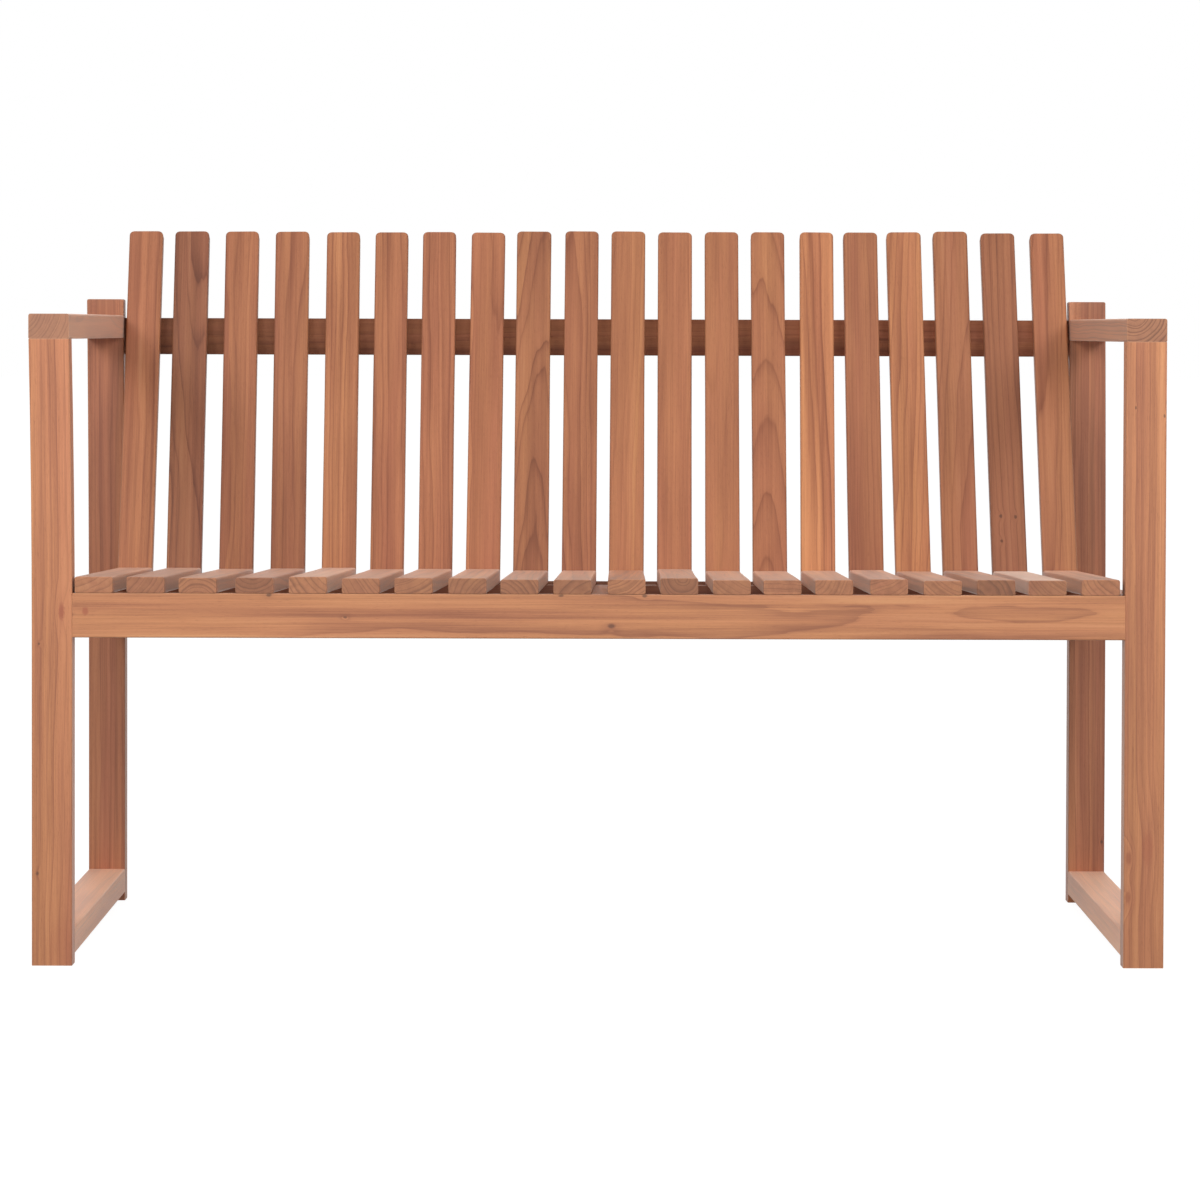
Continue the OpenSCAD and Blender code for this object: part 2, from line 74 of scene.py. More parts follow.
# ---------------------------------------------------------------------------
# Looks of the single timbers, from the front of the bench
# ---------------------------------------------------------------------------
# tone: brightness; red: 0 tan to 1 salmon; red_slope: how the hue changes across, per metre;
# fade: painted light and shade, how much brighter the right, upper or rear end is drawn than
# the middle; ring: ring width in mm; pith: how far the heart of the tree lies across and
# through the board, in mm; tilt: slope of the grain; band, line: strength of the broad bands
# and of the ring lines; gloss, sheen: the shader's specular level and sheen weight; end_grey:
# greyness of the ends; marks: knots, stains and patches of painted shade as (along, across)
# in mm, radius in mm, length, and how dark or red they are and how much they bend the rings.
# bow: how far to the left the grain takes a leg's top to stand, in mm. The right rear leg's
# has the wrong sign: that leg leans left too, by 2.4 mm.
FRAME_LOOKS = {
    # The front legs' fade is painted light: brighter at the top, darker towards the foot.
    "front_leg_left": dict(
        tone=1.12, red=0.34, red_slope=11, fade=0.1, band=1.2, ring=7.0, pith=(-62, 34),
        tilt=(0.01, 0.004), line=0.9, bow=3.6,
        marks=[
            ((10, -14), 1.3, 1.2),
            ((-246, -16), 1.7, 1.5),
            ((46, 11), 3.8, 2.6, dict(dark=0.12, red=0.9)),
            ((-330, 10), 16.0, 2.2, dict(dark=0.05, red=0.25, bend=0.2)),
        ]),
    "front_leg_right": dict(
        tone=1.08, red=0.38, fade=0.11, band=1.1, ring=6.0, pith=(70, 28),
        tilt=(-0.008, 0.003), line=0.8,
        marks=[
            ((276, -12), 1.0, 2.2),
            ((267, 20), 1.2, 1.8),
            ((-226, -17), 3.2, 2.4, dict(dark=0.22, red=0.5, bend=1.6)),
            ((-270, -18), 3.6, 2.0, dict(dark=0.22, red=0.5, bend=1.6)),
            ((-215, 4), 7.0, 3.0, dict(dark=0.06, red=0.4, bend=0.6)),
        ]),
    # The rear legs' fade is painted light; the dark patch at each leg's top is painted shade.
    "rear_leg_left": dict(
        tone=1.01, red=0.66, fade=0.05, band=1.2, ring=6.5, pith=(58, 40), tilt=(0.006, 0.004),
        bow=2.4,
        marks=[
            # painted shade on the leg's top, above the armrest
            ((362, 0), 24.0, 1.0, dict(dark=0.32, bend=0.0)),
        ]),
    "rear_leg_right": dict(
        tone=1.02, red=0.62, fade=0.01, band=1.2, ring=6.0, pith=(-64, 30),
        tilt=(-0.005, 0.003), bow=-2.4,
        marks=[
            ((-297, 19), 1.8, 1.3),
            # painted shade on the leg's top, above the armrest
            ((362, 0), 24.0, 1.0, dict(dark=0.4, bend=0.0)),
        ]),
    "armrest_left": dict(
        tone=1.18, sheen=0.6, end_grey=0.25, red=0.35, ring=4.6, pith=(-50, 30),
        tilt=(0.004, 0.0), line=1.1),
    "armrest_right": dict(
        tone=1.02, sheen=0.42, end_grey=0.15, red=0.3, ring=4.4, pith=(-15, 20),
        tilt=(-0.004, 0.0), line=2.2),
    # The runners' high tone is partly painted sheen: their tops and inner faces are drawn paler.
    "floor_runner_left": dict(
        tone=1.7, sheen=0.62, line=0.5, band=0.8, red=0.3, ring=6.0, pith=(26, -48),
        tilt=(0.01, 0.0)),
    "floor_runner_right": dict(
        tone=1.8, sheen=0.7, line=0.5, band=0.8, red=0.25, ring=5.5, pith=(-30, -44),
        tilt=(-0.01, 0.0)),
    "side_rail_left": dict(
        tone=0.86, red=0.6, ring=6.0, pith=(30, 40), tilt=(0.01, 0.0)),
    "side_rail_right": dict(
        tone=0.86, red=0.55, ring=6.0, pith=(-30, 40), tilt=(-0.01, 0.0)),
    "front_rail": dict(
        tone=1.04, red=0.28, band=1.7, ring=5.5, pith=(6, 95), tilt=(0.002, 0.006),
        line=1.2,
        marks=[
            ((14, -10), 2.9, 1.6, dict(bend=0.4, red=0.3)),
            ((-282, -1), 1.5, 1.6, dict(bend=0.5)),
            ((-42, 23.5), 1.6, 2.0, dict(bend=0.3)),
            ((-367, 23.5), 2.2, 1.5, dict(bend=0.3)),
            ((51, 23.5), 1.9, 1.8, dict(bend=0.3)),
            ((-571, 5), 5.4, 0.7, dict(dark=0.08, red=0.9, bend=0.3)),
        ]),
    "rear_rail": dict(
        tone=0.84, red=0.6, ring=6.0, pith=(20, 70), tilt=(0.002, 0.004)),
    "centre_bearer": dict(
        tone=0.86, red=0.35, ring=5.0, pith=(14, 40), tilt=(0.006, 0.0)),
    # The upper back rail's low tone is partly painted shade from the slats in front of it; its fade
    # paints it darker towards the left.
    "upper_back_rail": dict(
        tone=0.64, red=0.7, fade=0.28, gloss=0.15, sheen=0.0, ring=6.0, pith=(10, 60),
        tilt=(0.003, 0.003)),
    "lower_back_rail": dict(
        tone=0.8, red=0.7, ring=6.0, pith=(-12, 60), tilt=(-0.003, 0.003)),
}

# The slats from left to right; end_dark is how much darker a seat slat's sawn end is
BACK_TONE = [0.91, 0.61, 0.83, 0.79, 0.92, 0.91, 0.91, 0.94, 0.79, 0.85,
             0.88, 0.90, 0.88, 0.90, 1.10, 0.82, 1.01, 0.81, 0.71, 0.88]
BACK_RED = [0.50, 0.80, 0.60, 0.60, 0.36, 0.56, 0.62, 0.60, 0.46, 0.55,
            0.40, 0.50, 0.46, 0.52, 0.32, 0.58, 0.34, 0.62, 0.62, 0.52]
SEAT_TONE = [1.02, 0.96, 1.04, 1.00, 1.12, 1.00, 1.06, 1.02, 0.94, 0.96,
             1.00, 0.98, 1.02, 1.06, 1.04, 1.10, 1.04, 0.96, 1.12, 1.12]
SEAT_END_DARK = [0.0, 0.12, 0.0, 0.26, 0.0, 0.06, 0.07, 0.19, 0.20, 0.26,
                 0.0, 0.27, 0.11, 0.0, 0.0, 0.0, 0.0, 0.39, 0.17, 0.0]
SEAT_RED = [0.50, 0.60, 0.45, 0.55, 0.40, 0.55, 0.45, 0.50, 0.60, 0.55,
            0.40, 0.55, 0.45, 0.50, 0.50, 0.60, 0.45, 0.55, 0.50, 0.50]

# What sets single slats apart, by number from the left
BACK_LOOKS = {
    2: dict(band=1.7, line=1.6),
    # fade on slats 3, 4, 19 and 20 is painted light and shade: brighter at the top, darker lower
    # down
    3: dict(fade=0.08),
    4: dict(fade=0.10),
    9: dict(ring=5.0, pith=(8, 40), tilt=(0.02, 0.05), band=1.0, line=1.4),
    10: dict(ring=5.0, pith=(-30, 44), tilt=(0.02, 0.03), band=0.9, line=1.2),
    11: dict(band=0.5, line=0.6),
    13: dict(band=0.5, line=0.5),
    14: dict(ring=6.5, pith=(-4, 30), tilt=(0.0, 0.07), band=0.7, line=1.2),
    15: dict(ring=9.0, pith=(-40, 24), tilt=(-0.02, 0.02), band=1.3, line=1.5),
    19: dict(fade=0.07, marks=[
        ((-120, -9), 2.2, 1.2), ((-121, 9), 2.0, 1.4), ((-152, -9), 1.9, 1.3)]),
    20: dict(fade=0.07),
}
SEAT_LOOKS = {
    3: dict(ring=4.5, pith=(0, -18), line=1.5),
    4: dict(ring=5.0, pith=(2, 16), line=1.6),
    5: dict(sheen=0.5),
    8: dict(ring=6.0, pith=(40, -30), line=1.4),
    9: dict(ring=5.0, pith=(-30, -30), line=1.8),
    10: dict(ring=11.0, pith=(30, -34), line=1.8, band=1.6),
    11: dict(sheen=0.12),
    12: dict(ring=5.0, pith=(0, 14), line=1.7),
    14: dict(ring=4.0, pith=(0, -120), line=1.1),
    16: dict(sheen=0.42),
    18: dict(ring=10.0, pith=(-36, -30), line=1.9, band=1.5),
    19: dict(sheen=0.8),
}


def srgb(r, g, b):
    """A linear RGBA colour from 8-bit sRGB numbers."""
    def line(v):
        v /= 255
        return v / 12.92 if v <= 0.04045 else ((v + 0.055) / 1.055) ** 2.4
    return (line(r), line(g), line(b), 1.0)


TAN = [srgb(114, 66, 43), srgb(155, 97, 65), srgb(198, 134, 89), srgb(221, 162, 112)]
SALMON = [srgb(100, 54, 38), srgb(142, 82, 58), srgb(181, 112, 82), srgb(203, 140, 105)]
COLOUR_STOPS = (0.08, 0.36, 0.62, 0.90)     # where the four colours of each lie, dark to light
# the edges' paler colour: partly rubbed wear, partly a painted highlight
EDGE_WEAR_AND_HIGHLIGHT_COLOUR = srgb(226, 172, 132)
END_COLOUR = srgb(165, 116, 86)
SHEEN_COLOUR = srgb(255, 234, 218)
ARM_END_COLOUR = srgb(176, 140, 124)
END_DARK_COLOUR = srgb(60, 36, 26)
END_LINE_COLOUR = srgb(104, 66, 48)
KNOT_AND_SHADE_COLOUR = srgb(70, 42, 30)
PATCH_COLOUR = srgb(168, 88, 62)
STEEL_PALE = srgb(196, 195, 190)
STEEL_DARK = srgb(120, 118, 114)
MEAN_ROUGHNESS = 0.50
SHEEN_ROUGHNESS = 0.40
TEAK_IOR = 1.5
BUMP_STRENGTH = 0.55
BUMP_DEPTH = 0.12 * MM
MEAN_GRAIN = 0.56           # where the colours' middle lies between dark and light

# Noise cells per metre along, across and through the grain
WANDER_CELLS = (3.2, 18, 18)
RIPPLE_CELLS = (14, 110, 110)
FIBRE_CELLS = (11, 1050, 1050)
BAND_CELLS = (2.2, 130, 130)
CLOUD_CELLS = (4.0, 26, 26)
HUE_CELLS = (2.6, 42, 42)
PORE_CELLS = (120, 3000, 3000)
WORN_CELLS = (60, 300, 300)
KNOT_CELLS = (350, 500, 500)


# ---------------------------------------------------------------------------
# Short ways to write node graphs
# ---------------------------------------------------------------------------
class Graph:
    """Adds nodes to a tree. A value given to a socket is a number, a vector or another socket."""

    def __init__(self, tree):
        self.tree = tree

    def put(self, socket, value):
        if isinstance(value, bpy.types.NodeSocket):
            self.tree.links.new(value, socket)
        else:
            socket.default_value = value

    def node(self, kind, inputs=(), **settings):
        made = self.tree.nodes.new("ShaderNode" + kind)
        for name, value in settings.items():
            setattr(made, name, value)
        for key, value in dict(inputs).items():
            self.put(made.inputs[key], value)
        return made

    def math(self, operation, *values, clamp=False):
        made = self.node("Math", dict(enumerate(values)), operation=operation, use_clamp=clamp)
        return made.outputs[0]

    def vector(self, operation, *values):
        made = self.node("VectorMath", dict(enumerate(values)), operation=operation)
        return made.outputs["Value" if operation in ("DOT_PRODUCT", "LENGTH") else "Vector"]

    def noise(self, place, stretch, detail=2.0, rough=0.5, distort=0.0):
        """Noise from 0 to 1 whose cells are 1/stretch metres long on each axis."""
        made = self.node("TexNoise", {
            "Vector": self.vector("MULTIPLY", place, stretch), "Scale": 1.0, "Detail": detail,
            "Roughness": rough, "Distortion": distort}, noise_dimensions="3D")
        return made.outputs["Fac"]

    def spread(self, value, low, high, out_low=0.0, out_high=1.0):
        """Maps low..high smoothly to out_low..out_high."""
        made = self.node("MapRange", {
            "Value": value, "From Min": low, "From Max": high,
            "To Min": out_low, "To Max": out_high}, interpolation_type="SMOOTHSTEP")
        return made.outputs["Result"]

    def swing(self, value, amount):
        """A 0..1 noise turned into plus or minus amount."""
        return self.math("MULTIPLY", self.math("SUBTRACT", value, 0.5), amount)

    def add(self, *values):
        total = values[0]
        for value in values[1:]:
            total = self.math("ADD", total, value)
        return total

    def mix(self, share, first, second, blend="MIX"):
        """Mixes two colours; a Mix node's colour sockets are 6, 7 and output 2."""
        made = self.node("Mix", data_type="RGBA", blend_type=blend, clamp_factor=True)
        self.put(made.inputs[0], share)
        self.put(made.inputs[6], first)
        self.put(made.inputs[7], second)
        return made.outputs[2]

    def ramp(self, value, stops):
        """Stops are (place, grey or colour)."""
        made = self.node("ValToRGB", {"Fac": value})
        while len(made.color_ramp.elements) < len(stops):
            made.color_ramp.elements.new(0.5)
        for element, (place, colour) in zip(made.color_ramp.elements, stops):
            element.position = place
            element.color = colour if isinstance(colour, tuple) else (colour, colour, colour, 1.0)
        return made.outputs["Color"]


def new_group(name, inputs, outputs):
    """A node group with its input and output sockets, given as (kind, name, default)."""
    tree = bpy.data.node_groups.new(name, "ShaderNodeTree")
    for kind, label, value in inputs:
        made = tree.interface.new_socket(
            name=label, in_out="INPUT", socket_type="NodeSocket" + kind)
        made.default_value = value
    for kind, label in outputs:
        tree.interface.new_socket(name=label, in_out="OUTPUT", socket_type="NodeSocket" + kind)
    given = tree.nodes.new("NodeGroupInput").outputs
    out = tree.nodes.new("NodeGroupOutput").inputs
    return Graph(tree), given, out


# ---------------------------------------------------------------------------
# Teak
# ---------------------------------------------------------------------------
def make_mark_group():
    """One knot, stain or patch of painted shade: how far it bends the rings, and how dark or red it
    is.
    """
    graph, given, out = new_group(
        "timber_mark",
        [("Vector", "Place", (0, 0, 0)), ("Vector", "Centre", (0, 0, 0)),
         ("Float", "Radius", 0.002), ("Float", "Length", 1.4), ("Float", "Bend", 1.0),
         ("Float", "Dark", 1.0), ("Float", "Red", 0.0)],
        [("Float", "Bend"), ("Float", "Dark"), ("Float", "Red")])
    offset = graph.vector("SUBTRACT", given["Place"], given["Centre"])
    parts = graph.node("SeparateXYZ", {0: offset}).outputs
    along = graph.math("DIVIDE", parts[0], given["Length"])
    through = graph.math("MULTIPLY", parts[2], 0.45)
    squashed = graph.node("CombineXYZ", {0: along, 1: parts[1], 2: through}).outputs[0]
    wobble = graph.swing(graph.noise(given["Place"], KNOT_CELLS), 0.7)
    far = graph.math("DIVIDE", graph.vector("LENGTH", squashed), given["Radius"])
    edge = graph.math("ADD", far, wobble)
    core = graph.spread(edge, 0.45, 1.25, 1.0, 0.0)
    halo = graph.spread(far, 0.0, 4.5, 1.0, 0.0)
    push = graph.math("MULTIPLY", graph.math("MULTIPLY", halo, given["Radius"]), given["Bend"])
    graph.put(out["Bend"], graph.math("MULTIPLY", push, 1.6))
    graph.put(out["Dark"], graph.math("MULTIPLY", core, given["Dark"]))
    graph.put(out["Red"], graph.math("MULTIPLY", core, given["Red"]))
    return graph.tree


def make_space_group():
    """Places on a timber in its own axes: along the grain, across and through it. Bow is
    how far to the left a leg's top is taken to stand from its straight foot."""
    graph, given, out = new_group(
        "timber_space",
        [("Vector", "Middle", (0, 0, 0)), ("Vector", "Along", (1, 0, 0)),
         ("Vector", "Across", (0, 1, 0)), ("Vector", "Through", (0, 0, 1)),
         ("Vector", "Half", (1, 1, 1)), ("Float", "Bow", 0.0)],
        [("Vector", "Place"), ("Float", "End"), ("Float", "Edge wear and highlight")])
    coords = graph.node("TexCoord").outputs
    offset = graph.vector("SUBTRACT", coords["Object"], given["Middle"])
    along = graph.vector("DOT_PRODUCT", offset, given["Along"])
    half_l = graph.node("SeparateXYZ", {0: given["Half"]}).outputs[0]
    upper = graph.math("DIVIDE", along, half_l, clamp=True)
    bow = graph.math("MULTIPLY", graph.math("MULTIPLY", upper, upper), given["Bow"])
    across = graph.vector("DOT_PRODUCT", offset, given["Across"])
    place = graph.node("CombineXYZ", {
        0: along, 1: graph.math("ADD", across, bow),
        2: graph.vector("DOT_PRODUCT", offset, given["Through"])}).outputs[0]
    facing = graph.math("ABSOLUTE", graph.vector("DOT_PRODUCT", coords["Normal"], given["Along"]))
    # the second smallest distance to a face is small only near an arris
    depth = graph.vector("SUBTRACT", given["Half"], graph.vector("ABSOLUTE", place))
    x, y, z = graph.node("SeparateXYZ", {0: depth}).outputs
    lesser = graph.math("MINIMUM", x, y)
    greater = graph.math("MAXIMUM", x, y)
    second = graph.math("MAXIMUM", lesser, graph.math("MINIMUM", greater, z))
    worn = graph.swing(graph.noise(place, WORN_CELLS, 3.0), 1.8 * MM)
    graph.put(out["Place"], place)
    graph.put(out["End"], graph.spread(facing, 0.55, 0.80))
    # edges drawn paler: partly rubbed wear, partly a painted highlight
    edge_wear_and_highlight = graph.spread(graph.math("ADD", second, worn), 0.2 * MM, 1.4 * MM, 1.0, 0.0)
    graph.put(out["Edge wear and highlight"], edge_wear_and_highlight)
    return graph.tree


def make_teak_group():
    """Solid teak: growth rings round the heart of the tree, fibres, pores and colour."""
    graph, given, out = new_group(
        "teak",
        [("Vector", "Place", (0, 0, 0)), ("Float", "End", 0.0), ("Float", "Edge wear and highlight", 0.0),
         ("Vector", "Seed", (0, 0, 0)), ("Vector", "Pith", (0, 0.05, 0.03)),
         ("Vector", "Tilt", (0, 0, 0)), ("Float", "Ring", 0.006), ("Float", "Tone", 1.0),
         ("Float", "Red", 0.5), ("Float", "Red slope", 0.0), ("Float", "Fade", 0.0),
         ("Float", "Band", 1.0), ("Float", "Line", 1.0), ("Float", "End grey", 0.0),
         ("Float", "End dark", 0.0), ("Float", "Bend", 0.0), ("Float", "Mark dark", 0.0),
         ("Float", "Mark red", 0.0)],
        [("Color", "Color"), ("Float", "Roughness"), ("Float", "Height")])
    place, end = given["Place"], given["End"]
    seeded = graph.vector("ADD", place, given["Seed"])

    # distance from the heart, wandering along the grain
    along = graph.node("SeparateXYZ", {0: place}).outputs[0]
    along_all = graph.node("CombineXYZ", {0: along, 1: along, 2: along}).outputs[0]
    slope = graph.vector("MULTIPLY", given["Tilt"], along_all)
    heart = graph.vector("ADD", given["Pith"], slope)
    away = graph.vector("SUBTRACT", place, heart)
    radius = graph.vector("LENGTH", graph.vector("MULTIPLY", away, (0, 1, 1)))
    wander = graph.swing(graph.noise(seeded, WANDER_CELLS), 13 * MM)
    ripple = graph.swing(graph.noise(seeded, RIPPLE_CELLS), 1.7 * MM)
    radius = graph.add(radius, wander, ripple, given["Bend"])

    count = graph.math("DIVIDE", radius, given["Ring"])
    seed_x = graph.node("SeparateXYZ", {0: given["Seed"]}).outputs[0]
    pace = graph.math("ADD", graph.math("MULTIPLY", count, 0.7), seed_x)
    uneven = graph.node(
        "TexNoise", {"W": pace, "Scale": 1.0, "Detail": 1.0}, noise_dimensions="1D").outputs["Fac"]
    count = graph.math("ADD", count, graph.swing(uneven, 1.6))
    within = graph.math("FRACT", count)
    which = graph.math("ADD", graph.math("FLOOR", count), seed_x)
    ring_tone = graph.node("TexWhiteNoise", {"W": which}, noise_dimensions="1D").outputs["Value"]
    which_hue = graph.math("ADD", which, 37.3)
    ring_hue = graph.node("TexWhiteNoise", {"W": which_hue}, noise_dimensions="1D").outputs["Value"]
    late = graph.ramp(
        within, [(0.0, 0.75), (0.05, 0.18), (0.30, 0.0), (0.66, 0.12), (0.90, 0.62), (0.97, 1.0)])

    # fibres, bands, clouds and pores
    fibre = graph.noise(seeded, FIBRE_CELLS, 3.0, 0.62)
    band = graph.noise(seeded, BAND_CELLS, distort=0.3)
    cloud = graph.noise(seeded, CLOUD_CELLS)
    hue = graph.noise(seeded, HUE_CELLS)
    pores = graph.spread(graph.noise(seeded, PORE_CELLS, 1.0), 0.60, 0.74)
    early = graph.math("SUBTRACT", 1.0, late)
    early = graph.math("ADD", graph.math("MULTIPLY", early, 0.7), 0.3)
    pores = graph.math("MULTIPLY", pores, early)

    grain = graph.add(
        MEAN_GRAIN,
        graph.math("MULTIPLY", graph.swing(ring_tone, 0.09), given["Band"]),
        graph.math("MULTIPLY", graph.swing(band, 0.36), given["Band"]),
        graph.swing(fibre, 0.34),
        graph.swing(cloud, 0.30),
        graph.math("MULTIPLY", graph.math("MULTIPLY", late, -0.14), given["Line"]),
        graph.math("MULTIPLY", pores, -0.12))
    across = graph.node("SeparateXYZ", {0: place}).outputs[1]
    redness = graph.add(
        given["Red"], graph.math("MULTIPLY", across, given["Red slope"]),
        graph.swing(hue, 1.1), graph.swing(ring_hue, 0.25))
    # painted light and shade: the colour is drawn brighter towards the right, upper or rear end
    fade = graph.math("ADD", graph.math("MULTIPLY", along, given["Fade"]), 1.0)
    level = graph.math("MULTIPLY", given["Tone"], fade)
    tone = graph.node("CombineXYZ", {0: level, 1: level, 2: level}).outputs[0]
    tan = graph.ramp(grain, list(zip(COLOUR_STOPS, TAN)))
    salmon = graph.ramp(grain, list(zip(COLOUR_STOPS, SALMON)))
    colour = graph.mix(redness, tan, salmon)

    # sawn ends are duller, with stronger rings; arrises are drawn paler, partly as rubbed wear and
    # partly as a painted highlight
    ends = graph.mix(0.42, colour, END_COLOUR)
    ends = graph.mix(given["End grey"], ends, ARM_END_COLOUR)
    ends = graph.mix(given["End dark"], ends, END_DARK_COLOUR)
    end_lines = graph.math("MULTIPLY", graph.math("MULTIPLY", late, 0.28), given["Line"])
    ends = graph.mix(end_lines, ends, END_LINE_COLOUR)
    colour = graph.mix(end, graph.mix(1.0, colour, tone, "MULTIPLY"), ends)
    colour = graph.mix(graph.math("MULTIPLY", given["Edge wear and highlight"], 0.16), colour, EDGE_WEAR_AND_HIGHLIGHT_COLOUR)
    colour = graph.mix(graph.math("MULTIPLY", given["Mark red"], 0.75), colour, PATCH_COLOUR)
    # knots, and the patches of painted shade on the rear legs' tops
    colour = graph.mix(graph.math("MULTIPLY", given["Mark dark"], 0.85), colour, KNOT_AND_SHADE_COLOUR)

    graph.put(out["Color"], colour)
    rough = graph.add(
        MEAN_ROUGHNESS, graph.swing(fibre, 0.16), graph.math("MULTIPLY", late, -0.05),
        graph.math("MULTIPLY", end, 0.16), graph.math("MULTIPLY", given["Edge wear and highlight"], -0.06))
    graph.put(out["Roughness"], rough)
    height = graph.add(
        graph.swing(fibre, 0.5), graph.math("MULTIPLY", pores, -0.8),
        graph.math("MULTIPLY", late, 0.25), graph.math("MULTIPLY", given["Mark dark"], -0.6))
    graph.put(out["Height"], height)
    return graph.tree


MARK = make_mark_group()
SPACE = make_space_group()
TEAK = make_teak_group()


def teak_material(name, timber, look, seed):
    """A board's own teak: the shared groups, with this board's axes, heart, tone and marks."""
    made = bpy.data.materials.new(name)
    made.use_nodes = True
    made.node_tree.nodes.clear()
    graph = Graph(made.node_tree)

    def group(tree, inputs):
        node = made.node_tree.nodes.new("ShaderNodeGroup")
        node.node_tree = tree
        for key, value in inputs.items():
            graph.put(node.inputs[key], value)
        return node.outputs

    space = group(SPACE, {
        "Middle": timber.middle, "Along": timber.along, "Across": timber.across,
        "Through": timber.through, "Half": timber.half, "Bow": look.get("bow", 0.0) * MM})
    marks = {"Bend": 0.0, "Dark": 0.0, "Red": 0.0}
    for mark in look.get("marks", ()):
        (along, across), radius, shape = mark[:3]
        kind = mark[3] if len(mark) > 3 else {}
        one = group(MARK, {
            "Place": space["Place"],
            "Centre": (along * MM, across * MM, timber.front * timber.half[2]),
            "Radius": radius * MM, "Length": shape, "Bend": kind.get("bend", 1.0),
            "Dark": kind.get("dark", 0.8), "Red": kind.get("red", 0.0)})
        for key in marks:
            marks[key] = one[key] if marks[key] == 0.0 else graph.math("ADD", marks[key], one[key])
    rng = random.Random(seed)
    pith, tilt = look["pith"], look["tilt"]
    teak = group(TEAK, {
        "Place": space["Place"], "End": space["End"], "Edge wear and highlight": space["Edge wear and highlight"],
        "Seed": (rng.uniform(5, 60), rng.uniform(5, 60), rng.uniform(5, 60)),
        "Pith": (0, pith[0] * MM, pith[1] * MM), "Tilt": (0, tilt[0], tilt[1]),
        "Ring": look["ring"] * MM, "Tone": look["tone"], "Red": look["red"],
        "Red slope": look.get("red_slope", 0.0), "Fade": look.get("fade", 0.0) / timber.half[0],
        "Band": look.get("band", 1.0), "Line": look.get("line", 1.0),
        "End grey": look.get("end_grey", 0.0), "End dark": look.get("end_dark", 0.0),
        "Bend": marks["Bend"], "Mark dark": marks["Dark"], "Mark red": marks["Red"]})
    bump = graph.node(
        "Bump", {"Height": teak["Height"], "Strength": BUMP_STRENGTH, "Distance": BUMP_DEPTH})
    shader = graph.node("BsdfPrincipled", {
        "Base Color": teak["Color"], "Roughness": teak["Roughness"], "Normal": bump.outputs[0]})
    shader.inputs["IOR"].default_value = TEAK_IOR
    shader.inputs["Specular IOR Level"].default_value = look.get("gloss", 0.5)
    shader.inputs["Sheen Weight"].default_value = look.get("sheen", 0.15)
    shader.inputs["Sheen Tint"].default_value = SHEEN_COLOUR
    shader.inputs["Sheen Roughness"].default_value = SHEEN_ROUGHNESS
    out = graph.node("OutputMaterial")
    made.node_tree.links.new(shader.outputs[0], out.inputs["Surface"])
    return made


def steel_material():
    """Zinc-grey screw steel: turned, a little scratched and dulled."""
    made = bpy.data.materials.new("screw_steel")
    made.use_nodes = True
    made.node_tree.nodes.clear()
    graph = Graph(made.node_tree)
    place = graph.node("TexCoord").outputs["Object"]
    cloud = graph.noise(place, (160, 160, 160), 3.0)
    scratch = graph.noise(place, (3000, 500, 900), 3.0)
    fleck = graph.add(graph.swing(cloud, 1.1), graph.swing(scratch, 0.7), 0.55)
    bump = graph.node("Bump", {"Height": scratch, "Strength": 0.3, "Distance": 0.04 * MM})
    shader = graph.node("BsdfPrincipled", {
        "Base Color": graph.mix(fleck, STEEL_DARK, STEEL_PALE),
        "Roughness": graph.spread(cloud, 0.3, 0.7, 0.26, 0.48), "Normal": bump.outputs[0]})
    shader.inputs["Metallic"].default_value = 1.0
    out = graph.node("OutputMaterial")
    made.node_tree.links.new(shader.outputs[0], out.inputs["Surface"])
    return made


